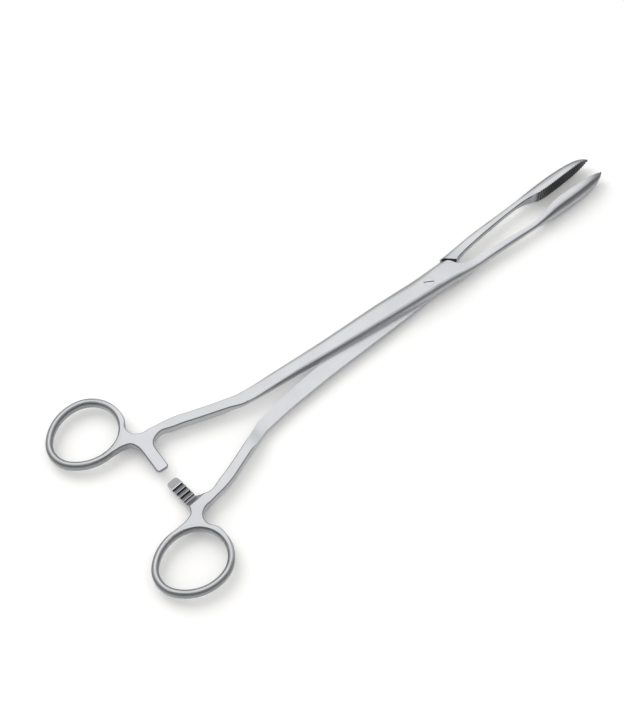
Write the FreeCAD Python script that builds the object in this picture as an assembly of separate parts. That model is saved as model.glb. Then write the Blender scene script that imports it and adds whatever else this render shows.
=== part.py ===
import FreeCAD, Part
import os
from math import atan2, cos, degrees, exp, hypot, pi, radians, remainder, sin, sqrt, tan

# Long dressing forceps: two forged halves that cross at a flat lap joint and turn on one screw.
# Each half is one piece: finger ring, neck with its ratchet arm, handle, lapping shank and jaw.
# The two halves are the same forging, and one of them is turned over.
#
# All sizes are in millimetres. A half is drawn in its own frame: x runs from the joint towards
# the jaw, y towards the half's own finger ring, z up from the mid-plane where the halves meet.
# The assembly stands with its screw on the z axis and the screw's flat tail at z = 0.

# Finger ring: an egg-shaped loop of four arcs, with a full oval section.
ring_hole_length = 27.3
ring_hole_width = 22.5
ring_band = 2.9               # width of the band, seen from above
ring_thickness = 4.4
ring_crown = 1.38             # radius of the section's top and bottom
ring_near_less = 0.25         # the end arc towards the joint is this much under the half width
ring_far_less = 2.85          # and the end arc away from it, this much
ring_tilt = 6.6               # degrees
ring_back = 150.1             # pivot to the middle of the ring, along the half
ring_side = 24.1              # pivot to the middle of the ring, across the half

# Handle: a flat bar with an S bend, and the neck that joins it to the ring.
handle_width = 4.3
handle_thickness = 4.3
handle_edge = 0.4             # the plate's edges are broken by this much
handle_start = 0.45           # middle of the bar beside the half's axis, where it leaves the lap
handle_rise = 8.55            # how far the S bend steps sideways
neck_to_arm = 5.5             # from the ratchet arm's middle to where the bend ends

# Ratchet: an arm across the space between the handles, with saw teeth on the mid-plane.
arm_ahead = 16.45             # ring middle to arm middle
arm_width = 5.0
arm_reach = 7.0               # tip of the arm, past the half's axis
arm_corner = 1.3
tooth_count = 4
tooth_pitch = 2.2
tooth_depth = 0.7
tooth_flank = 0.15            # run of the steep side of a tooth
tooth_gap = 0.06              # crest to the mid-plane
lead_in_past = 0.8            # the ramp at the arm's tip ends this far beyond the tip
lead_in_drop = 0.9            # and this far from the mid-plane
run_out = 2.8                 # length of the slope from the teeth up to full thickness

# Lap: half-round shanks lying flat on each other, widest and thickest at the joint.
lap_back = 90.0               # pivot to the end of the lap
lap_ramp = 15.0               # length of the ramp from full thickness to half
land_gap = 0.03               # between the two flat lands
lap_end_width = 5.2
joint_width = 10.0
joint_half_thickness = 4.0
shoulder_angle = 44.0         # the step back to full thickness, beyond the joint
shoulder_ahead = 17.1         # where that step would cross the half's axis

# Jaw: a slim shank and a serrated blade.
jaw_reach = 93.6              # pivot to the tip
jaw_shank_half_height = 1.7
jaw_half_height = 4.0
jaw_outer_side = 4.95         # outer side of the jaw's shank beside the half's axis
grip_angle = 1.49             # the grip face lies in a plane through the pivot, degrees
serration_start = 65.0
serration_pitch = 1.0
serration_depth = 0.45
heel_drop = 0.8               # the first serrations fall away from the grip plane
heel_run = 3.3

# Joint screw: threaded into the lower half, and the upper half turns under its head.
screw_diameter = 3.2
screw_head_diameter = 4.3
screw_head_depth = 1.4
screw_tail = 0.1              # the flat tail stands this far out of the lower half
slot_width = 0.4
slot_depth = 0.6
slot_angle = -31.1            # degrees, seen from above
running_gap = 0.04            # round the screw in the half that turns
thread_gap = 0.01

# Each rounded corner of the shank and jaw, and each crown of the ring, is this many arcs.
corner_arcs = 3
crown_arcs = 4

# Hand-set bow: the shanks of both halves lean this far to the upper half's ring side.
bow = 0.75

# Pose: each half is turned away from the middle line by this angle, in degrees.
rest_half_angle = 3.935

# Worked out from the sizes above.
ring_a = (ring_hole_length + ring_band) / 2
ring_b = (ring_hole_width + ring_band) / 2
arm_x = -(ring_back - arm_ahead)
neck_x = arm_x + neck_to_arm
handle_top = handle_start + handle_rise + handle_width / 2
plate_half = handle_thickness / 2
joint_half_width = joint_width / 2
mid_plane = joint_half_thickness + screw_tail
reach = 40.0                  # longer than any cut needs


def vec(x, y, z=0.0):
    return FreeCAD.Vector(x, y, z)


def line(start, end):
    return Part.LineSegment(vec(*start), vec(*end)).toShape()


def arc(start, middle, end):
    return Part.Arc(vec(*start), vec(*middle), vec(*end)).toShape()


def bend(start, go, end):
    """One arc from start, where it heads at the angle go, to end; also its heading there."""
    dx, dy = end[0] - start[0], end[1] - start[1]
    chord = atan2(dy, dx)
    swing = remainder(go - chord, 2 * pi)
    if abs(swing) < 0.001:
        return line(start, end), chord
    rise = tan(swing / 2) / 2
    middle = ((start[0] + end[0]) / 2 - dy * rise, (start[1] + end[1]) / 2 + dx * rise)
    return arc(start, middle, end), chord - swing


def flow(start, go, end, stop):
    """Two tangent arcs from start to end, with the headings go and stop, in radians."""
    dx, dy = end[0] - start[0], end[1] - start[1]
    forward = dx * (cos(go) + cos(stop)) + dy * (sin(go) + sin(stop))
    spread = 2 - 2 * cos(go - stop)
    square = dx * dx + dy * dy
    handle = square / (forward + sqrt(forward * forward + spread * square))
    joint = ((start[0] + end[0] + handle * (cos(go) - cos(stop))) / 2,
             (start[1] + end[1] + handle * (sin(go) - sin(stop))) / 2)
    first, heading = bend(start, go, joint)
    return [first, bend(joint, heading, end)[0]]


def smooth(points, leave=None, arrive=None):
    """Tangent arcs through plan points, with a direction at either end where one is given."""
    chords = [(q[0] - p[0], q[1] - p[1]) for p, q in zip(points, points[1:])]
    angles = [atan2(dy, dx) for dx, dy in chords]
    lengths = [hypot(dx, dy) for dx, dy in chords]
    headings = []
    for i in range(len(chords) - 1):
        turn = remainder(angles[i + 1] - angles[i], 2 * pi)
        headings.append(angles[i] + turn * lengths[i] / (lengths[i] + lengths[i + 1]))
    first = atan2(leave[1], leave[0]) if leave else 2 * angles[0] - headings[0]
    last = atan2(arrive[1], arrive[0]) if arrive else 2 * angles[-1] - headings[-1]
    headings = [first] + headings + [last]
    edges = []
    for i in range(len(chords)):
        edges += flow(points[i], headings[i], points[i + 1], headings[i + 1])
    return edges


def prism(edges, low, high):
    """Solid with vertical walls over a closed plan outline."""
    outline = Part.Wire(Part.__sortEdges__(edges))
    outline.translate(vec(0, 0, low))
    return Part.Face(outline).extrude(vec(0, 0, high - low))


def polygon(points):
    return [line(points[i - 1], points[i]) for i in range(len(points))]


def ring_arcs():
    """The loop's four arcs: centre, radius and first and last direction, in radians."""
    near, far = ring_b - ring_near_less, ring_b - ring_far_less
    near_x, far_x = ring_a - near, far - ring_a
    # The two side arcs touch both end arcs, and are widest at the loop's half width.
    drift = (near - far) / (near_x - far_x)
    start = (near_x ** 2 - far_x ** 2 - near ** 2 + far ** 2) / (2 * (near_x - far_x))
    linear = drift * (near_x - start) + ring_b - near
    rest = (near_x - start) ** 2 + ring_b ** 2 - near ** 2
    side = rest / (linear + sqrt(linear ** 2 - drift ** 2 * rest))
    side_x, drop = start + drift * side, side - ring_b
    near_turn, far_turn = atan2(drop, near_x - side_x), atan2(drop, far_x - side_x)
    return [
        (near_x, 0.0, near, -near_turn, near_turn),
        (side_x, -drop, side, near_turn, far_turn),
        (far_x, 0.0, far, far_turn, 2 * pi - far_turn),
        (side_x, drop, side, 2 * pi - far_turn, 2 * pi - near_turn),
    ]


def ring_point(turn, outward=0.0):
    """Point beside the ring's middle line, where outward is turn degrees from the joint's side."""
    for x, y, radius, first, last in ring_arcs():
        ahead = remainder(radians(turn) - (first + last) / 2, 2 * pi)
        if abs(ahead) <= (last - first) / 2:
            break
    x += (radius + outward) * cos(radians(turn))
    y += (radius + outward) * sin(radians(turn))
    tilt = radians(ring_tilt)
    return (x * cos(tilt) - y * sin(tilt) - ring_back, x * sin(tilt) + y * cos(tilt) + ring_side)


def ring_section(radius):
    """Oval of flat sides and full crowns, standing at radius from the z axis."""
    a, b, crown = ring_band / 2, ring_thickness / 2, ring_crown
    side = (a * a + b * b - 2 * b * crown) / (2 * (a - crown))
    slope = atan2(b - crown, side - a)
    runs = [
        (a - side, 0.0, side, -slope, slope, 1),
        (0.0, b - crown, crown, slope, pi - slope, crown_arcs),
        (side - a, 0.0, side, pi - slope, pi + slope, 1),
        (0.0, crown - b, crown, pi + slope, 2 * pi - slope, crown_arcs),
    ]
    edges = []
    for x, z, size, first, last, count in runs:
        step = (last - first) / count
        for i in range(count):
            angles = [first + step * (i + share) for share in (0, 0.5, 1)]
            points = [vec(radius + x + size * cos(t), 0, z + size * sin(t)) for t in angles]
            edges.append(Part.Arc(*points).toBSpline().toShape())
    return Part.Face(Part.Wire(edges))


def ring():
    """The loop: its section turned about the centre of each of the four arcs."""
    pieces = []
    for x, y, radius, first, last in ring_arcs():
        piece = ring_section(radius).revolve(vec(0, 0), vec(0, 0, 1), degrees(last - first))
        piece.rotate(vec(0, 0), vec(0, 0, 1), degrees(first))
        piece.translate(vec(x, y))
        pieces.append(piece)
    body = pieces[0].fuse(pieces[1:]).removeSplitter()
    body.rotate(vec(0, 0), vec(0, 0, 1), ring_tilt)
    body.translate(vec(-ring_back, ring_side))
    return body


def bowed(x, lean):
    """Sideways lean of the shank at x: none at the ring and the tip, most beside the joint."""
    stations = [
        (-lap_back - 20.0, 0.0),
        (-lap_back, 0.65),
        (-0.85 * lap_back, 1.0),
        (-0.6 * lap_back, 0.95),
        (0.0, 0.2),
        (0.14 * jaw_reach, 0.2),
        (0.3 * jaw_reach, 0.9),
        (0.7 * jaw_reach, 0.25),
        (jaw_reach, 0.0),
    ]
    for (x0, share0), (x1, share1) in zip(stations, stations[1:]):
        if x0 <= x <= x1:
            return lean * (share0 + (share1 - share0) * (x - x0) / (x1 - x0))
    return 0.0


def handle_edges(lean):
    """Ring side and inner side of the handle, from the lap's end to the neck."""
    # Share of the way to the neck, share of the bend's rise, half width.
    half = handle_width / 2
    stations = [
        (0.0, 0.0, lap_end_width / 2),
        (0.25, 0.275, half + 0.05),
        (0.5, 0.585, half),
        (0.75, 0.883, half),
        (1.0, 1.0, half),
    ]
    ring_side_edge, inner_edge = [], []
    for share, rise, wide in stations:
        x = -lap_back + (neck_x + lap_back) * share
        y = handle_start + handle_rise * rise + bowed(x, lean)
        ring_side_edge.append((x, y + wide))
        inner_edge.append((x, y - wide))
    return ring_side_edge, inner_edge


def handle_plate(lean):
    """Handle bar, neck, web under the ring and ratchet arm: one plate with broken edges."""
    ring_side_edge, inner_edge = handle_edges(lean)
    left = arm_x - arm_width / 2 - 0.1
    right = arm_x + arm_width / 2
    tip = -arm_reach
    outside = ring_band / 2
    buried = 0.5 * outside        # so near the ring's crown, the plate lies inside the ring
    neck_turn, heel_turn, web_steps = 24.0, -113.0, 4

    # Up the ring side of the handle, round the neck's hollow and onto the ring's crown.
    neck = ring_side_edge + [
        (arm_x + 1.0, handle_top + 0.45),
        (arm_x - 1.6, handle_top + 2.3),
        (arm_x - 2.4, handle_top + 4.8),
        ring_point(-20.5, outside + 0.05),
        ring_point(-9.2, outside - 0.15),
        ring_point(7, outside - 0.45),
        ring_point(neck_turn, buried),
    ]
    # Back along the inside of the ring, proud of its band only in the middle.
    web = []
    for i in range(web_steps + 1):
        share = i / web_steps
        turn = neck_turn + (heel_turn - neck_turn) * share
        web.append(ring_point(turn, -buried - (outside - 0.4 - buried) * sin(pi * share)))
    # From within the ring along its outer side and round into the arm.
    heel = [
        ring_point(heel_turn, buried),
        ring_point(-96, outside - 0.45),
        ring_point(-83.5, outside - 0.1),
        (arm_x - 6.9, handle_top - 0.75),
        (arm_x - 4.6, handle_top - 1.55),
        (arm_x - 3.15, handle_top - 3.7),
        (left, handle_top - 7.0),
    ]
    corner = arm_corner * (1 - sqrt(0.5))
    palm = [(right, handle_top - 8.6), (right + 0.75, handle_top - 6.0)] + inner_edge[::-1]
    edges = smooth(neck, (-1, 0)) + [line(neck[-1], web[0])]
    edges += smooth(web) + [line(web[-1], heel[0])]
    edges += smooth(heel, (1, -0.4), (0, -1)) + [
        line((left, handle_top - 7.0), (left, tip + arm_corner)),
        arc((left, tip + arm_corner), (left + corner, tip + corner), (left + arm_corner, tip)),
        line((left + arm_corner, tip), (right - arm_corner, tip)),
        arc((right - arm_corner, tip), (right - corner, tip + corner), (right, tip + arm_corner)),
        line((right, tip + arm_corner), (right, handle_top - 8.6)),
    ]
    edges += smooth(palm, (0, 1), (1, 0)) + [line(inner_edge[0], ring_side_edge[0])]
    plate = prism(edges, -plate_half, plate_half)
    broken = []
    for edge in plate.Edges:
        box = edge.BoundBox
        flat = box.ZLength < 0.01
        # The two short lines inside the ring and the lap's end stay sharp.
        in_ring = isinstance(edge.Curve, Part.Line) and box.XMax < left - 0.5
        at_lap = box.XLength < 0.01 and box.XMin > neck_x
        if flat and not in_ring and not at_lap:
            broken.append(edge)
    return plate.makeChamfer(handle_edge, broken)


def bar_section(x, outer, inner, half_height, outer_radius, inner_radius, crown):
    """Closed section across the half: a low crown above and below, and rounded corners."""
    middle = (outer + inner) / 2
    half = (inner - outer) / 2
    crown_radius = (half * half + crown * crown) / (2 * crown)
    crown_centre = half_height - crown_radius

    def corner(side, radius):
        """Points round one upper corner, from the end of the wall to the start of the crown."""
        centre_y = half - radius
        rise = sqrt((crown_radius - radius) ** 2 - centre_y ** 2)
        top_angle = atan2(rise, centre_y)
        points = []
        for i in range(2 * corner_arcs + 1):
            angle = top_angle * i / (2 * corner_arcs)
            y = centre_y + radius * cos(angle)
            points.append(vec(x, middle + side * y, crown_centre + rise + radius * sin(angle)))
        return points

    def arcs(points):
        """An arc through each point of odd index, between its neighbours."""
        odd = range(1, len(points), 2)
        return [Part.Arc(points[i - 1], points[i], points[i + 1]).toShape() for i in odd]

    def under(points):
        return [vec(point.x, point.y, -point.z) for point in points[::-1]]

    ring_side, far_side = corner(1, inner_radius), corner(-1, outer_radius)[::-1]
    crest = [ring_side[-1], vec(x, middle, half_height), far_side[0]]
    edges = arcs(ring_side) + arcs(crest) + arcs(far_side)
    edges.append(Part.LineSegment(far_side[-1], under(far_side)[0]).toShape())
    edges += arcs(under(far_side)) + arcs(under(crest)) + arcs(under(ring_side))
    edges.append(Part.LineSegment(under(ring_side)[-1], ring_side[0]).toShape())
    return Part.Wire(edges)


def bar(lean):
    """Lapping shank, joint and jaw in one flowing bar, before the land and the grip are cut."""
    lap_outer, lap_inner = handle_start - lap_end_width / 2, handle_start + lap_end_width / 2
    w, h = joint_half_width, joint_half_thickness
    s, j, o = jaw_shank_half_height, jaw_half_height, jaw_outer_side
    wide = joint_half_width + 0.05
    tip = jaw_reach
    # Share of the lap, outer side, ring side, half height, corner radius, crown.
    sections = [
        (-lap_back, lap_outer, lap_inner, plate_half, handle_edge, handle_edge, 0.02),
        (-0.93 * lap_back, -0.54 * w, 0.57 * w, plate_half + 0.05, 0.8, 0.8, 0.06),
        (-0.86 * lap_back, -0.6 * w, 0.56 * w, 0.64 * h, 1.1, 1.1, 0.12),
        (-0.75 * lap_back, -0.65 * w, 0.58 * w, 0.69 * h, 1.4, 1.4, 0.2),
        (-0.6 * lap_back, -0.76 * w, 0.63 * w, 0.72 * h, 1.7, 1.9, 0.3),
        (-0.42 * lap_back, -0.88 * w, 0.76 * w, 0.82 * h, 1.9, 2.2, 0.4),
        (-0.22 * lap_back, -0.97 * w, 0.89 * w, 0.93 * h, 2.1, 2.5, 0.45),
        (0.0, -w, 0.97 * w, h, 2.2, 2.6, 0.45),
        (8.0, -o, wide, 0.93 * h, 2.1, 1.5, 0.4),
        (14.5, -o, wide, 0.75 * h, 1.7, 1.3, 0.3),
        (21.0, -o, wide, 1.15 * s, 1.2, 1.2, 0.15),
        (29.0, 0.2 - o, wide, s, 1.1, 1.1, 0.1),
        (44.0, 0.8 - o, wide, s, 1.1, 1.1, 0.1),
        (56.0, 1.25 - o, wide, 1.05 * s, 1.2, 1.1, 0.1),
        (tip - 32.6, 1.4 - o, wide, 0.68 * j, 1.9, 1.1, 0.1),
        (tip - 28.6, 1.55 - o, wide, 0.9 * j, 2.6, 1.1, 0.1),
        (tip - 23.6, 1.75 - o, wide, 0.99 * j, 3.0, 1.1, 0.1),
        (tip - 16.6, 2.25 - o, wide, j, 3.0, 1.1, 0.1),
        (tip - 9.6, 3.2 - o, wide, 0.94 * j, 2.8, 1.1, 0.1),
        (tip - 4.6, 4.35 - o, wide, 0.75 * j, 2.2, 1.1, 0.1),
        (tip - 1.6, 5.7 - o, wide, 0.43 * j, 1.2, 0.9, 0.1),
        (tip, 6.95 - o, wide, 0.18 * j, 0.4, 0.4, 0.05),
    ]
    wires = []
    for x, outer, inner, half_height, outer_radius, inner_radius, crown in sections:
        side = bowed(x, lean)
        wires.append(bar_section(x, outer + side, inner + side, half_height, outer_radius,
                                 inner_radius, crown))
    return Part.makeLoft(wires, True, False)


def grip(x):
    """Grip face beside the half's axis, falling away behind the first serrations."""
    return x * tan(radians(grip_angle)) - heel_drop * exp((serration_start - x) / heel_run)


def inner_cut(shift, lean):
    """What is cut from the inner side: round nose, jaw shank's inner face and serrated grip."""
    nose = joint_half_width
    first = serration_start + shift
    edge = [
        (8.0, nose + 0.3),
        (9.6, nose - 0.05),
        (12.1, nose - 0.5),
        (13.6, nose - 1.6),
        (14.6, nose - 3.2),
        (15.6, nose - 4.5),
        (17.6, nose - 5.5),
        (20.5, nose - 6.0),
        (30.0, nose - 6.4),
        (40.0, nose - 6.65),
        (50.0, nose - 6.7),
        (56.5, nose - 6.4),
        (60.0, nose - 5.75),
        (first, grip(first)),
    ]
    edge = [(x, y + bowed(x, lean)) for x, y in edge]
    zigzag = [edge[-1]]
    count = int((jaw_reach - first) / serration_pitch)
    for i in range(count):
        crest = first + i * serration_pitch
        root = crest + serration_pitch / 2
        tooth = crest + serration_pitch
        zigzag.append((root, grip(root) - serration_depth + bowed(root, lean)))
        zigzag.append((tooth, grip(tooth) + bowed(tooth, lean)))
    zigzag.append((jaw_reach + 1, grip(jaw_reach + 1)))
    edges = smooth(edge)
    edges += [line(zigzag[i], zigzag[i + 1]) for i in range(len(zigzag) - 1)]
    edges += [
        line(zigzag[-1], (jaw_reach + 1, reach)),
        line((jaw_reach + 1, reach), (8.0, reach)),
        line((8.0, reach), edge[0]),
    ]
    return prism(edges, -reach, reach)


def land_cut():
    """What is cut away under the lap, from the ramp behind it to the shoulder beyond the joint."""
    ramp_end = -lap_back
    ramp_start = ramp_end - lap_ramp
    level = land_gap / 2
    profile = flow((ramp_start, -plate_half), 0, (ramp_end, level), 0)
    profile += [
        line((ramp_end, level), (reach, level)),
        line((reach, level), (reach, -reach)),
        line((reach, -reach), (ramp_start, -reach)),
        line((ramp_start, -reach), (ramp_start, -plate_half)),
    ]
    side = prism(profile, -reach, reach)
    side.rotate(vec(0, 0, 0), vec(1, 0, 0), 90)
    slope = tan(radians(90 - shoulder_angle))
    plan = [
        (-2 * lap_back, -reach),
        (shoulder_ahead - reach * slope, -reach),
        (shoulder_ahead + reach * slope, reach),
        (-2 * lap_back, reach),
    ]
    return side.common(prism(polygon(plan), -2 * reach, 2 * reach))


def ratchet_cut():
    """What is cut away under the arm, leaving saw teeth just above the mid-plane."""
    root = tooth_gap + tooth_depth
    first = -(tooth_count - 1) / 2 * tooth_pitch
    start = -arm_reach - lead_in_past
    profile = [(start, tooth_gap + lead_in_drop), (first, tooth_gap)]
    for i in range(tooth_count):
        crest = first + i * tooth_pitch
        if i > 0:
            profile.append((crest, tooth_gap))
        profile.append((crest + tooth_flank, root))
    teeth_end = first + (tooth_count - 0.5) * tooth_pitch
    profile += [
        (teeth_end, root),
        (teeth_end + run_out, -plate_half - 0.1),
        (teeth_end + run_out, -reach),
        (start, -reach),
    ]
    cut = prism(polygon(profile), arm_x - arm_width, arm_x + arm_width)
    cut.rotate(vec(0, 0, 0), vec(1, 1, 1), 120)
    return cut


def forged_half(shift, lean):
    """One half without its screw hole; shift moves its serrations along the jaw."""
    body = bar(lean).cut(inner_cut(shift, lean))
    body = body.fuse([handle_plate(lean), ring()])
    body = body.cut([land_cut(), ratchet_cut()])
    return body.removeSplitter()


def cylinder(diameter, low, high):
    return Part.makeCylinder(diameter / 2, high - low, vec(0, 0, low))


def front_half():
    """Upper half: the screw's head is sunk into its crown and it turns on the screw."""
    seat = joint_half_thickness - screw_head_depth
    body = forged_half(0.0, bow)
    hole = cylinder(screw_diameter + 2 * running_gap, -reach, reach)
    sink = cylinder(screw_head_diameter + 2 * running_gap, seat - running_gap, reach)
    return body.cut(hole.fuse(sink))


def back_half():
    """Lower half, turned over: its serrations lie between those of the other jaw."""
    body = forged_half(serration_pitch / 2, -bow)
    return body.cut(cylinder(screw_diameter + 2 * thread_gap, -reach, reach))


def joint_screw():
    """Screw with a slotted head that follows the crown round it."""
    seat = joint_half_thickness - screw_head_depth
    head = cylinder(screw_head_diameter, seat, joint_half_thickness + 1).common(bar(bow))
    body = head.fuse(cylinder(screw_diameter, -mid_plane, seat + 0.2))
    slot = Part.makeBox(2 * screw_head_diameter, slot_width, slot_depth + 1)
    slot.translate(vec(-screw_head_diameter, -slot_width / 2, joint_half_thickness - slot_depth))
    slot.rotate(vec(0, 0, 0), vec(0, 0, 1), slot_angle + rest_half_angle)
    return body.cut(slot).removeSplitter()


def turned(shape, angle):
    shape.rotate(vec(0, 0, 0), vec(0, 0, 1), angle)
    return shape


def over(shape):
    shape.rotate(vec(0, 0, 0), vec(1, 0, 0), 180)
    return shape


parts = {
    "front_half": turned(front_half(), -rest_half_angle),
    "back_half": turned(over(back_half()), rest_half_angle),
    "joint_screw": turned(joint_screw(), -rest_half_angle),
}
os.makedirs("parts", exist_ok=True)
for name, shape in parts.items():
    shape.translate(vec(0, 0, mid_plane))
    solid = shape.Solids[0] if len(shape.Solids) == 1 else shape
    solid.exportStep("parts/" + name + ".step")
    box = solid.optimalBoundingBox()
    print(name, len(shape.Solids), "solid", solid.isValid(), round(solid.Volume, 1),
          [round(v, 2) for v in (box.XMin, box.YMin, box.ZMin, box.XMax, box.YMax, box.ZMax)])
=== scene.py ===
# %% [markdown]
# # Dressing forceps in satin steel
# The object is three forged and turned pieces of stainless steel: two halves that cross at a lap
# joint, and the slotted screw that they turn on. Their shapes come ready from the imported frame, so
# this lesson is about finish and light. Steel has almost no colour of its own. What the eye reads
# as satin steel is the reflection of the studio, softened by a fine grain.

# %% Load the frame
from collections import namedtuple
from math import cos, radians, sin

import bpy
import numpy as np
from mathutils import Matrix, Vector

MM = 0.001                        # a millimetre, in metres

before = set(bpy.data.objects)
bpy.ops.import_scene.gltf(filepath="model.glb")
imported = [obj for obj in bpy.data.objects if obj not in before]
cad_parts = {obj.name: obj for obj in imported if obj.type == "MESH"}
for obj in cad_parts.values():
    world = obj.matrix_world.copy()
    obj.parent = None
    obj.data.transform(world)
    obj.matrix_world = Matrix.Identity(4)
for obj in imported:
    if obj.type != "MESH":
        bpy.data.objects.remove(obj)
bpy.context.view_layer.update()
print("pieces:", sorted(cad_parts))

# %% [markdown]
# ## The camera
# The photograph looks down on the forceps from about sixty degrees, with the jaws at the upper
# right. A lens of 92 mm from 0.73 m gives the same mild perspective. The camera could be aimed
# with a constraint, but a turn worked out from one direction stays put when views are added.

# %% Camera at the photograph's angle
aim = Vector((-56.7, 6.0, 4.1)) * MM
to_camera_angle = 230.48          # degrees round from +X, seen from above
camera_elevation = 60.86          # degrees above the floor
camera_distance = 726 * MM
lens_length = 92.28               # millimetres
sensor_width = 36                 # millimetres
farthest_seen = 50                # metres, well beyond the edge of the floor


def direction(angle, elevation):
    """Unit vector from an angle round from +X and an elevation above the floor, in degrees."""
    outward = cos(radians(elevation))
    return Vector((outward * cos(radians(angle)), outward * sin(radians(angle)),
                   sin(radians(elevation))))


def look_from(thing, place, target):
    """Puts a camera or lamp at place and turns it to look at target."""
    thing.location = place
    thing.rotation_euler = (target - place).to_track_quat("-Z", "Y").to_euler()


def new_object(name, data):
    """An object in the scene that holds a camera, a lamp or a mesh."""
    made = bpy.data.objects.new(name, data)
    bpy.context.collection.objects.link(made)
    return made


camera_data = bpy.data.cameras.new("camera")
camera_data.lens = lens_length
camera_data.sensor_width = sensor_width
camera_data.clip_end = farthest_seen
camera = new_object("camera", camera_data)
look_from(camera, aim + direction(to_camera_angle, camera_elevation) * camera_distance, aim)
bpy.context.scene.camera = camera
bpy.context.scene.view_settings.view_transform = "Standard"
print("camera at", [round(v, 3) for v in camera.location])

# %% [markdown]
# ## Helpers for materials
# A procedural material is a little graph of nodes. It could be drawn by hand in the shader
# editor, but the three pieces share one graph with a few numbers changed, and code writes it once.
# These short functions keep it readable: one adds a node and fills its sockets, one makes a
# material with a principled shader, and the others do sums, noise and soft steps.

# %% Node helpers


def add(tree, kind, settings=None, **sockets):
    """Adds a node, sets its properties, and sets or links sockets by name or as s and a number."""
    node = tree.nodes.new("ShaderNode" + kind)
    for name, value in (settings or {}).items():
        setattr(node, name, value)
    for name, value in sockets.items():
        socket = node.inputs[int(name[1:]) if name[1:].isdigit() else name.replace("_", " ")]
        if isinstance(value, bpy.types.NodeSocket):
            tree.links.new(value, socket)
        else:
            socket.default_value = value
    return node


def maths(tree, operation, a, b=0.0):
    """One sum of two numbers or sockets."""
    return add(tree, "Math", {"operation": operation}, s0=a, s1=b).outputs[0]


def times(tree, value, *others):
    """All the numbers and sockets multiplied together."""
    for other in others:
        value = maths(tree, "MULTIPLY", value, other)
    return value


def blank(name):
    """A material with only a principled shader, and its tree."""
    made = bpy.data.materials.new(name)
    made.use_nodes = True
    tree = made.node_tree
    tree.nodes.clear()
    shader = add(tree, "BsdfPrincipled")
    output = add(tree, "OutputMaterial")
    tree.links.new(shader.outputs[0], output.inputs[0])
    return made, tree, shader


def noise(tree, where, scale, detail, roughness=0.5):
    """Grey noise between 0 and 1, about 1/scale metres from lump to lump."""
    made = add(tree, "TexNoise", Vector=where, Scale=scale, Detail=detail, Roughness=roughness)
    return made.outputs["Fac"]


def remap(tree, value, low, high, to_low, to_high):
    """Carries the stretch low to high onto to_low to to_high, and stops at its ends."""
    return add(tree, "MapRange", s0=value, s1=low, s2=high, s3=to_low, s4=to_high).outputs[0]


# %% [markdown]
# ## Where the finish changes, and painted shade on the edges
# The flats are brushed bright. The broken and rolled edges, which the brush slides over, are made
# rougher, and their colour gets a painted shade that stands in for the dark reflection drawing the
# outline of the real thing. A second material on the edge faces would need the mesh to be cut
# there, so both read the slope of the surface instead. It is darkest at a lean of forty to seventy
# degrees.

# %% Painted shade on the edges
# Pairs of how level the surface is, from 0 on a wall to 1 on a flat, and the painted shade tone that
# it gets.
edge_shade_tones = [(0.0, 0.88), (0.3, 0.64), (0.75, 0.6), (0.92, 0.74), (0.985, 0.97), (1.0, 1.0)]
edge_dullness = 0.6               # roughness added where the tone is 0


def ramp(tree, value, stops):
    """Straight stretches through pairs of a value and the tone that it gets."""
    made = add(tree, "ValToRGB", Fac=value)
    elements = made.color_ramp.elements
    while len(elements) < len(stops):
        elements.new(0.5)
    for element, (at, tone) in zip(elements, stops):
        element.position = at
        element.color = (tone, tone, tone, 1)
    return made.outputs["Color"]


print("edges: tone", min(tone for _, tone in edge_shade_tones), "at the darkest")

# %% [markdown]
# ## Places on a half
# The next steps each put a painted shade on one part of a half, such as a groove or a rim. The parts
# could be picked out face by face and given materials of their own, but the imported mesh stays as
# it came.
# Each half lies along a line a few degrees from X, and in a frame turned with it every part is
# between plain numbers. So a mask is a few sums on the place of a point and the way that it faces.

# %% Places in a turned frame
# From here on, lengths on the forceps are in millimetres: along a half from the hinge, across it,
# and above the table.
half_turn = 3.935                 # degrees from +X to each half's own length
wall_level, slope_level = 0.5, 0.7

# side is 1 on the lower half and -1 on the upper one, which is the same forging turned over. level
# is 1 on a flat and 0 on a wall, and inward is 1 on a wall that faces the other jaw.
Spot = namedtuple("Spot", "side place along across height level inward")


def reading(tree, place, turn):
    """A point's x, y and z in millimetres, in a frame turned about the hinge by turn degrees."""
    turned = add(tree, "Mapping", Vector=place, Rotation=(0, 0, -radians(turn)),
                 Scale=(1 / MM, 1 / MM, 1 / MM))
    split = add(tree, "SeparateXYZ", Vector=turned.outputs[0])
    return split.outputs[0], split.outputs[1], split.outputs[2]


def within(tree, value, low, high, soft):
    """1 from low to high, and 0 from soft beyond them."""
    above = remap(tree, value, low - soft, low, 0, 1)
    below = remap(tree, value, high, high + soft, 1, 0)
    return times(tree, above, below)


def steep(tree, level):
    """1 where the surface is steeper than sixty degrees, and 0 below about forty-five."""
    return remap(tree, level, wall_level, slope_level, 1, 0)


def toned(tree, mask, tone):
    """The tone where the mask is 1, and no change where it is 0."""
    change = times(tree, mask, maths(tree, "SUBTRACT", tone, 1.0))
    return maths(tree, "ADD", change, 1.0)


print("halves: turned", half_turn, "degrees each way from X")

# %% [markdown]
# ## Serrated grip faces
# The grooves of the serrations get a painted shade, nearly black in their roots and lighter on
# their crests. It could be painted as vertex colours, but the mesh is too coarse to hold it. Each
# grip face is a plane through the hinge's axis, so the distance beyond that plane is the depth in
# a groove, and it sets the painted shade. Near the tip the shade counts for less.

# %% Serrated grip faces
grip_turn = 2.445                 # degrees from +X to the grip plane of the lower half
grip_start = 65.0                 # millimetres from the hinge
grip_lead = 1.5                   # the mask comes in over this stretch
grip_depth = 0.45
grip_front, grip_behind = 0.3, 0.05    # the mask goes on before the plane and behind the roots
grip_soft = 0.08
heel_drop = 0.8                   # the first serrations fall away from the plane
heel_run = 3.3
grip_shade_fade, shade_fade_run = 88.0, 4     # from here to the tip the grooves are lighter
shade_fade_strength = 0.7
# Painted shade: the tone on the crests and in the roots of the grooves.
groove_crest_shade, groove_root_shade = 0.36, 0.05


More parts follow.
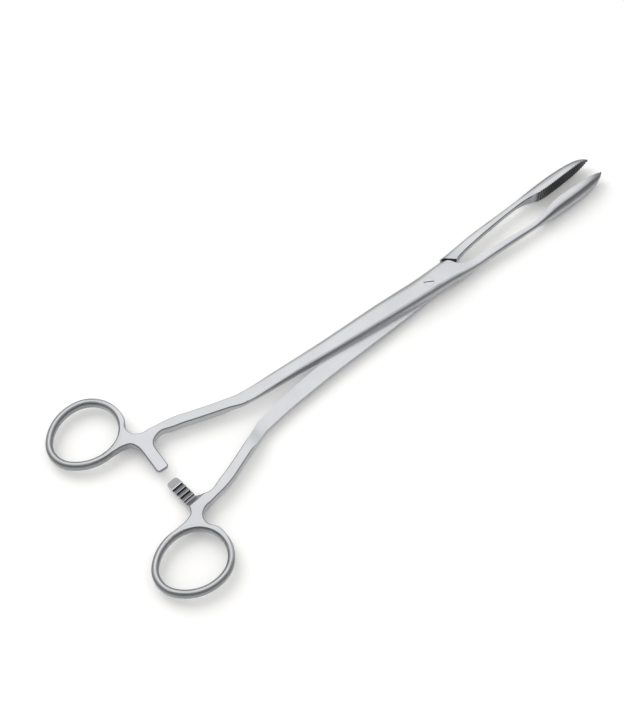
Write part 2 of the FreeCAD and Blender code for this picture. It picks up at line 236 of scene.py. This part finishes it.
def serration_shade(tree, spot):
    """Painted shade in the grooves, by their depth beyond the grip plane.

    The plane's heel drops by heel_drop times e to the power of the distance before grip_start,
    in heel runs.
    """
    along, across, _ = reading(tree, spot.place, spot.side * grip_turn)
    before = maths(tree, "DIVIDE", maths(tree, "SUBTRACT", grip_start, along), heel_run)
    heel = times(tree, maths(tree, "EXPONENT", before), heel_drop)
    depth = maths(tree, "SUBTRACT", times(tree, across, spot.side), heel)
    face = times(tree, within(tree, depth, -grip_front, grip_depth + grip_behind, grip_soft),
                 remap(tree, along, grip_start - grip_lead, grip_start, 0, 1),
                 steep(tree, spot.level),
                 remap(tree, along, grip_shade_fade, grip_shade_fade + shade_fade_run, 1, shade_fade_strength))
    return toned(tree, face, remap(tree, depth, 0, grip_depth, groove_crest_shade, groove_root_shade))


print("grip faces: grooves", grip_depth, "mm deep from", grip_start, "mm on")

# %% [markdown]
# ## Ratchet teeth
# The teeth are cut into the facing sides of the two arms. Their steep flanks get a black painted
# shade, their long slopes a dark one, and a painted highlight runs along the crests. A material for
# each face of a tooth would do it too, but would part them with hard lines. The depth from the
# plane where the arms meet gives a soft change, and the slope of the surface finds the flanks.

# %% Ratchet teeth
arm_middle = -133.7               # millimetres along the half
arm_half_width = 2.47
mid_plane = 4.1                   # millimetres above the table, where the two halves meet
tooth_crest, tooth_root = 0.06, 0.76    # from the mid-plane
tooth_spare, tooth_soft = 0.05, 0.03
first_crest = 3.3                 # across the half, towards the arm's tip
teeth_before, teeth_end, teeth_soft = 1.1, 7.2, 0.05
# Painted shade on the slopes and flanks, and a painted highlight along the crests.
slope_shade_tones = (0.34, 0.55)        # at the root, and a little below the crest
slope_top = 0.1
highlight_start, highlight_full, highlight_gain = 0.12, 0.05, 0.7    # below the crest, and what the painted highlight adds
lead_in, lead_in_tone = (0.02, 0.3), 0.65          # past the first crest, towards the tip
run_out, run_out_tone = (0.75, 0.45), 0.62         # past the last crest, towards the neck
flank_levels, flank_tone = (0.3, 0.6), 0.13


def ratchet_shade_and_highlight(tree, spot):
    """Painted shade and highlight: black steep flanks, dark slopes that rise to bright crests, and
    greyer ends.
    """
    below = times(tree, maths(tree, "SUBTRACT", mid_plane, spot.height), spot.side)
    sideways = times(tree, spot.across, spot.side)
    teeth = times(tree, within(tree, below, tooth_crest - tooth_spare, tooth_root + tooth_spare,
                               tooth_soft),
                  within(tree, spot.along, arm_middle - arm_half_width,
                         arm_middle + arm_half_width, tooth_soft),
                  within(tree, sideways, -first_crest - teeth_before, teeth_end, teeth_soft))
    slope = remap(tree, below, tooth_root, tooth_crest + slope_top, *slope_shade_tones)
    crest = remap(tree, below, tooth_crest + highlight_start, tooth_crest + highlight_full, 0, highlight_gain)
    lead = remap(tree, sideways, first_crest + lead_in[0], first_crest + lead_in[1],
                 0, lead_in_tone)
    run = remap(tree, sideways, -first_crest - run_out[0], -first_crest - run_out[1],
                run_out_tone, 0)
    slope = maths(tree, "MAXIMUM", maths(tree, "ADD", slope, crest), lead)
    slope = maths(tree, "MAXIMUM", slope, run)
    slope = times(tree, slope, remap(tree, spot.level, *flank_levels, flank_tone, 1))
    return toned(tree, teeth, slope)


print("ratchet: teeth", round(tooth_root - tooth_crest, 2), "mm deep across",
      2 * arm_half_width, "mm of arm")

# %% [markdown]
# ## Shoulder and slot
# Where a half steps down to its flat land, its shoulder faces a narrow gap, and the slot of the
# screw is a narrow cut; light hardly enters either. The shade could be left to the light alone,
# but bright metal there would still shine where it catches the sky. A mask on the place of each
# gives it a painted shade.

# %% Shoulder and slot
shoulder_ahead = 17.1             # millimetres from the hinge, on the half's own length
shoulder_slope = 1.0355           # how fast its line slants back across the half
shoulder_half_width = 4.5
shoulder_reach, shoulder_soft, shoulder_side_soft = 0.5, 0.2, 0.1
# Painted shade on the shoulder's wall.
shoulder_shade_tone = 0.15
slot_top = 7.98                   # millimetres above the table, just under the screw's crown
slot_soft = 0.1
# Painted shade in the screw's slot.
slot_shade_tone = 0.06


def shoulder_shade(tree, spot):
    """Painted shade on the wall on the line where along, plus shoulder_slope times across, is
    shoulder_ahead.
    """
    slanted = times(tree, spot.across, spot.side * shoulder_slope)
    ahead = maths(tree, "SUBTRACT", maths(tree, "ADD", spot.along, slanted), shoulder_ahead)
    face = times(tree, within(tree, ahead, -shoulder_reach, shoulder_reach, shoulder_soft),
                 steep(tree, spot.level),
                 within(tree, spot.across, -shoulder_half_width, shoulder_half_width,
                        shoulder_side_soft))
    return toned(tree, face, shoulder_shade_tone)


def slot_shade(tree, place):
    """Painted shade below the screw's crown, in the slot."""
    _, _, height = reading(tree, place, 0)
    return remap(tree, height, slot_top - slot_soft, slot_top, slot_shade_tone, 1)


print("shoulder:", shoulder_ahead, "mm ahead of the hinge; slot: below", slot_top, "mm")

# %% [markdown]
# ## Jaws
# The rolled edges along the jaws and the jaw tips get a painted shade, darker than the flats. A
# painted texture could hold such a change, but it would need a UV map. The distance from the hinge
# is enough to bring it in slowly.

# %% Jaws
jaws_start, jaws_full = 20.0, 60.0    # millimetres along the half
jaw_edge_levels, jaw_edge_soft = (0.3, 0.75), 0.12
# Painted shade on the jaws' rolled edges and tips.
jaw_edge_shade = 0.7
tips_start, tips_full = 81.0, 91.0
tip_shade = 0.7


def jaw_shade(tree, spot):
    """Painted shade on the rolled edges along the jaws, and on the tips."""
    edges = times(tree, remap(tree, spot.along, jaws_start, jaws_full, 0, 1),
                  within(tree, spot.level, *jaw_edge_levels, jaw_edge_soft))
    tips = remap(tree, spot.along, tips_start, tips_full, 0, 1)
    return times(tree, toned(tree, edges, jaw_edge_shade), toned(tree, tips, tip_shade))


print("jaws: edges darken from", jaws_start, "to", jaws_full, "mm, tips from", tips_start)

# %% [markdown]
# ## Inner walls of the jaw shanks
# The walls that face each other between joint and jaws see little of the sky and much of each
# other, so they lie in shade. They look grey, with a dark line just under their upper edge. The
# renderer finds most of the grey by itself, and a painted shade adds the rest. The dark line is a
# painted shade too. It is too thin for the mesh, so it is drawn by the distance from the
# edge, whose height is a sum of two slopes: down from the joint, and up again into the jaw.

# %% Inner walls of the jaw shanks
shank_start, shank_end, shank_soft = 18.0, 61.0, 1.5
shank_half_height = 1.7
joint_taper, joint_half_height = (14.5, 24), 3.0    # where it thins, and from what half height
jaw_flare, jaw_gain = (56.5, 65), 1.9               # where it thickens again, and by how much
facing_levels = (0.5, 0.8)        # how straight a wall faces the other jaw
# Painted shade on the facing walls and along their upper edge.
wall_shade_tone = 0.85
line_height, line_soft = 1.0, 0.2
line_shade_tone = 0.2


def shank_wall_shade(tree, spot):
    """Painted shade on the walls that face the other jaw, darkest along their upper edge."""
    half_height = maths(tree, "ADD", remap(tree, spot.along, *joint_taper, joint_half_height,
                                           shank_half_height),
                        remap(tree, spot.along, *jaw_flare, 0, jaw_gain))
    above = maths(tree, "SUBTRACT", spot.height, mid_plane)
    from_edge = maths(tree, "SUBTRACT", half_height, above)
    walls = times(tree, remap(tree, spot.inward, *facing_levels, 0, 1),
                  within(tree, spot.along, shank_start, shank_end, shank_soft))
    lines = times(tree, walls, remap(tree, from_edge, line_height, line_height + line_soft, 1, 0))
    return times(tree, toned(tree, walls, wall_shade_tone), toned(tree, lines, line_shade_tone))


print("jaw shanks: a dark line", line_height, "mm high from", shank_start, "to", shank_end, "mm")

# %% [markdown]
# ## Finger rings
# The flanks of the rings get a painted shade, so a thin bright line runs round the crown of a
# darker band. A second material could meet the first along the crown, but with a hard line. The
# slope of the surface gives the soft one.

# %% Finger rings
ring_start, ring_soft = -137.0, 3    # millimetres along the half
crown_levels = (0.93, 0.995)
# Painted shade on the rings' flanks.
ring_flank_tone = 0.72


def ring_shade(tree, spot):
    """Painted shade on the flanks of whatever lies beyond the neck, with the crown as it was."""
    rings = remap(tree, spot.along, ring_start - ring_soft, ring_start, 1, 0)
    return toned(tree, rings, remap(tree, spot.level, *crown_levels, ring_flank_tone, 1))


print("finger rings: from", ring_start, "mm back, with flanks of tone", ring_flank_tone)

# %% [markdown]
# ## Satin steel
# After forging, each half is ground and then brushed or blasted to a fine matt, which keeps glare
# out of the user's eyes. Close up there are three things to see: a grain too fine to count, faint
# streaks along the length where the belt ran, and slow clouds where the finish is a little
# brighter or duller. The shader's own anisotropy could draw streaks, but it needs a tangent that
# follows every piece. All three are noise here, at three scales, and act mostly on the roughness.

# %% Satin finish
steel_colour = (0.625, 0.637, 0.655, 1)
clouded_colour = tuple(0.9 * c for c in steel_colour[:3]) + (1,)
cloud_scale, cloud_detail = 55, 3
streak_scale, streak_detail, streak_roughness = 60, 4, 0.6
streak_stretch = 22               # times longer than wide
grain_scale, grain_detail = 3200, 1
noise_span = (0.3, 0.7)           # most of a noise lies between these
streak_swing, grain_swing = 0.05, 0.03    # roughness added and taken away
streak_height = 0.6               # beside the grain's, which is 1
bump_strength, bump_distance = 0.12, 0.02 * MM

# The painted shades and the painted highlight on the parts of a half.
half_painted_shades = (serration_shade, ratchet_shade_and_highlight, ring_shade, shoulder_shade, jaw_shade, shank_wall_shade)


def satin(name, dull, streak_turn, side=0):
    """Satin steel: clouds, streaks and grain, with painted shade on the edges, and with a half's own
    painted shades and highlight where side is 1 or -1, or else the painted shade of the screw's
    slot.
    """
    made, tree, shader = blank(name)
    coordinates = add(tree, "TexCoord")
    place = coordinates.outputs["Object"]
    normal = add(tree, "SeparateXYZ", Vector=coordinates.outputs["Normal"])
    level = maths(tree, "ABSOLUTE", normal.outputs["Z"])
    # The edge tone is a painted shade, and the tones multiplied in below add the painted shades and
    # highlight of a half's parts, or the painted shade of the screw's slot.
    edge = ramp(tree, level, edge_shade_tones)
    if side:
        inward = times(tree, normal.outputs["Y"], -side)
        spot = Spot(side, place, *reading(tree, place, side * half_turn), level, inward)
        tone = times(tree, edge, *(painted_mark(tree, spot) for painted_mark in half_painted_shades))
    else:
        tone = times(tree, edge, slot_shade(tree, place))
    turned = add(tree, "Mapping", Vector=place, Rotation=(0, 0, radians(streak_turn)),
                 Scale=(1, streak_stretch, streak_stretch)).outputs[0]
    clouds = noise(tree, place, cloud_scale, cloud_detail)
    streaks = noise(tree, turned, streak_scale, streak_detail, streak_roughness)
    grain = noise(tree, place, grain_scale, grain_detail)
    mixed = add(tree, "Mix", {"data_type": "RGBA"}, s0=remap(tree, clouds, *noise_span, 0, 1),
                s6=clouded_colour, s7=steel_colour)
    shaded = add(tree, "VectorMath", {"operation": "SCALE"}, s0=mixed.outputs[2], Scale=tone)
    tree.links.new(shaded.outputs[0], shader.inputs["Base Color"])
    shader.inputs["Metallic"].default_value = 1
    rough = maths(tree, "ADD",
                  remap(tree, streaks, *noise_span, dull - streak_swing, dull + streak_swing),
                  remap(tree, grain, *noise_span, -grain_swing, grain_swing))
    duller = times(tree, maths(tree, "SUBTRACT", 1.0, edge), edge_dullness)
    rough = maths(tree, "ADD", rough, duller)
    tree.links.new(rough, shader.inputs["Roughness"])
    height = maths(tree, "ADD", grain, times(tree, streaks, streak_height))
    bump = add(tree, "Bump", Strength=bump_strength, Distance=bump_distance, Height=height)
    tree.links.new(bump.outputs[0], shader.inputs["Normal"])
    return made


print("satin: grain of", round(1 / grain_scale / MM, 2), "mm, and streaks", streak_stretch,
      "times longer than wide")

# %% [markdown]
# ## The three finishes
# The two halves leave the same belt, and only the turn of the streaks and the side of their teeth
# differ. The screw is turned and faced by itself, so it is a little smoother and its streaks run
# another way. One material for all could be split by place, but three are easier to change.

# %% Finishes on the pieces
half_dull, screw_dull = 0.33, 0.3      # roughness of the flats
half_streaks, screw_streaks = 4, 31    # degrees that the streaks are turned by

finishes = {
    "front_half": satin("front_half_satin", half_dull, half_streaks, side=-1),
    "back_half": satin("back_half_satin", half_dull, -half_streaks, side=1),
    "joint_screw": satin("screw_satin", screw_dull, screw_streaks),
}
for node, finish in finishes.items():
    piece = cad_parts[node]
    piece.data.materials.clear()
    piece.data.materials.append(finish)
    print(node, "has", finish.name, "with", len(finish.node_tree.nodes), "nodes")

# %% [markdown]
# ## Floor
# The forceps lie on a plain white table. A curved backdrop could stand behind them, but the
# photograph looks down and shows nothing beyond the table, so one flat sheet that reaches past
# every view is enough.

# %% Floor
floor_reach = 12.0                # metres each way
floor_lines = 3                   # lines of corners each way
floor_colour = (0.95, 0.945, 0.935, 1)
floor_dull, floor_shine = 0.9, 0.1


def sheet(name, points_u, points_v, place):
    """Surface over a grid of two parameters, with place giving x, y and z as arrays."""
    u, v = np.meshgrid(points_u, points_v, indexing="ij")
    corners = np.stack(place(u, v), axis=-1).reshape(-1, 3)
    rows, columns = len(points_u), len(points_v)
    index = np.arange(rows * columns).reshape(rows, columns)
    quads = np.stack([index[:-1, :-1], index[1:, :-1], index[1:, 1:], index[:-1, 1:]], axis=-1)
    mesh = bpy.data.meshes.new(name)
    mesh.from_pydata(corners.tolist(), [], quads.reshape(-1, 4).tolist())
    return new_object(name, mesh)


def table_top(u, v):
    """x is u and y is v, and z is zero everywhere, at the lowest face of the forceps."""
    return u, v, np.zeros_like(u)


spread = np.linspace(-floor_reach, floor_reach, floor_lines)
floor = sheet("floor", spread, spread, table_top)
white, _, floor_shader = blank("table_white")
floor_shader.inputs["Base Color"].default_value = floor_colour
floor_shader.inputs["Roughness"].default_value = floor_dull
floor_shader.inputs["Specular IOR Level"].default_value = floor_shine
floor.data.materials.append(white)
print("floor:", 2 * floor_reach, "metres across")

# %% [markdown]
# ## Dark card
# Steel shows what stands round it, and in an evenly white room its near edges vanish into the
# table. A photographer stands a dark card on the near side, just out of the picture, and the
# edges draw themselves. The edges also carry a painted shade, which stays when the piece turns,
# while a reflection moves as it should. Only reflections see this card.

# %% Dark card on the near side
card_radius = 0.95                # metres, as are the heights
card_low, card_high = 0.03, 0.75
card_half_turn = 85               # degrees each way from the camera's side
card_lines = 33                   # upright lines of corners
card_colour = (0.03, 0.03, 0.032, 1)


def card_place(turn, height):
    """Upright cylinder round the forceps: x and y are the radius times turn's cosine and sine."""
    return card_radius * np.cos(turn), card_radius * np.sin(turn), height


turns = np.radians(np.linspace(to_camera_angle - card_half_turn,
                               to_camera_angle + card_half_turn, card_lines))
card = sheet("dark_card", turns, np.array([card_low, card_high]), card_place)
dark, _, card_shader = blank("card_black")
card_shader.inputs["Base Color"].default_value = card_colour
card_shader.inputs["Roughness"].default_value = 1
card.data.materials.append(dark)
card.visible_camera = False
card.visible_diffuse = False
card.visible_shadow = False
print("card:", len(card.data.polygons), "faces, up to", card_high, "metres")

# %% [markdown]
# ## Sky and lamp
# Steel under an evenly white sky looks like white plastic, so the sky is one large soft box:
# bright overhead and a little beyond the forceps, and fading to grey all round. A lit panel could
# do it, but it has an edge that shows in the steel, and the world has none. One wide lamp on the
# far left gives the soft shadow. It is left out of reflections, where it would burn a spot.

# %% Sky and lamp
sky_middle = direction(to_camera_angle + 180, 72)
sky_bright = 1.2
sky_dim = 0.7
sky_edge, sky_full = 0.45, 0.9    # cosines: dim from 63 degrees off its middle, bright within 26
lamp_side = direction(100, 42)
lamp_distance = 0.8               # metres
lamp_width = 0.75                 # metres
lamp_power = 2.6                  # watts

sky = bpy.data.worlds.new("studio")
bpy.context.scene.world = sky
sky.use_nodes = True
sky_tree = sky.node_tree
# The brightness goes by the cosine of the angle between a direction and the sky's middle.
nearness = add(sky_tree, "VectorMath", {"operation": "DOT_PRODUCT"},
               s0=add(sky_tree, "TexCoord").outputs["Generated"], s1=sky_middle)
brightness = remap(sky_tree, nearness.outputs["Value"], sky_edge, sky_full, sky_dim, sky_bright)
background = sky_tree.nodes["Background"]
background.inputs["Color"].default_value = (1, 1, 1, 1)
sky_tree.links.new(brightness, background.inputs["Strength"])

lamp_data = bpy.data.lights.new("key", "AREA")
lamp_data.shape = "DISK"
lamp_data.size = lamp_width
lamp_data.energy = lamp_power
lamp = new_object("key", lamp_data)
look_from(lamp, aim + lamp_side * lamp_distance, aim)
lamp.visible_glossy = False
print("lamp at", [round(v, 3) for v in lamp.location], "of", lamp_power, "watts")
